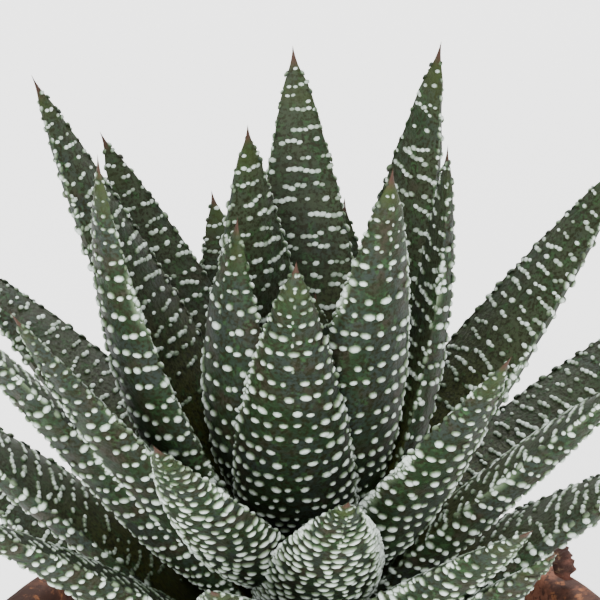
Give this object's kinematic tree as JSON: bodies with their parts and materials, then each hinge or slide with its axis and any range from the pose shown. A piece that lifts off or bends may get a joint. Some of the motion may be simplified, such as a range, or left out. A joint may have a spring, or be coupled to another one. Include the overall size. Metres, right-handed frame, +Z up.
{
  "type": "potted haworthia",
  "caption": "Potted succulent: a spiral rosette of stiff, pointed dark green leaves banded with raised white tubercles, on a short stem in a clay flower pot filled with soil.",
  "frame": {"origin": "under the middle of the pot, on the surface that it stands on, at the bottom centre of the bounding box", "axes": "+Z up along the pot's axis, -Y towards the viewer of the picture, +X to that viewer's right"},
  "size_m": [0.1008, 0.0995, 0.1464],
  "materials": {
    "leaf": "dark grey-green living leaf skin with a waxy sheen and raised white tubercles",
    "stem": "rough fibrous stem wrapped in old leaf bases",
    "dry_leaf": "withered leaf, matt red-brown, wrinkled along its length",
    "soil": "dark crumbly potting soil with peat fibres and grit",
    "clay": "unglazed red-brown clay, matt, with darker and paler mottling"
  },
  "bodies": {
    "root": {"pot": "clay", "soil": "soil", "stem": "stem", "leaf_01": "leaf", "leaf_02": "leaf", "leaf_03": "leaf", "leaf_04": "leaf", "leaf_05": "leaf", "leaf_06": "leaf", "leaf_07": "leaf", "leaf_08": "leaf", "leaf_09": "leaf", "leaf_10": "leaf", "leaf_11": "leaf", "leaf_12": "leaf", "leaf_13": "leaf", "leaf_14": "leaf", "leaf_15": "leaf", "leaf_16": "leaf", "leaf_17": "leaf", "leaf_18": "leaf", "leaf_19": "leaf", "leaf_20": "leaf", "leaf_21": "leaf", "leaf_22": "leaf", "leaf_23": "leaf", "leaf_24": "leaf", "leaf_25": "leaf", "leaf_26": "leaf", "leaf_27": "leaf", "leaf_28": "leaf", "leaf_29": "leaf", "leaf_30": "leaf", "leaf_31": "leaf", "leaf_32": "leaf", "leaf_33": "leaf", "leaf_34": "leaf", "leaf_35": "leaf", "leaf_36": "leaf", "leaf_37": "leaf", "leaf_38": "leaf", "leaf_39": "leaf", "leaf_40": "leaf", "dry_leaf": "dry_leaf"}
  },
  "joints": []
}
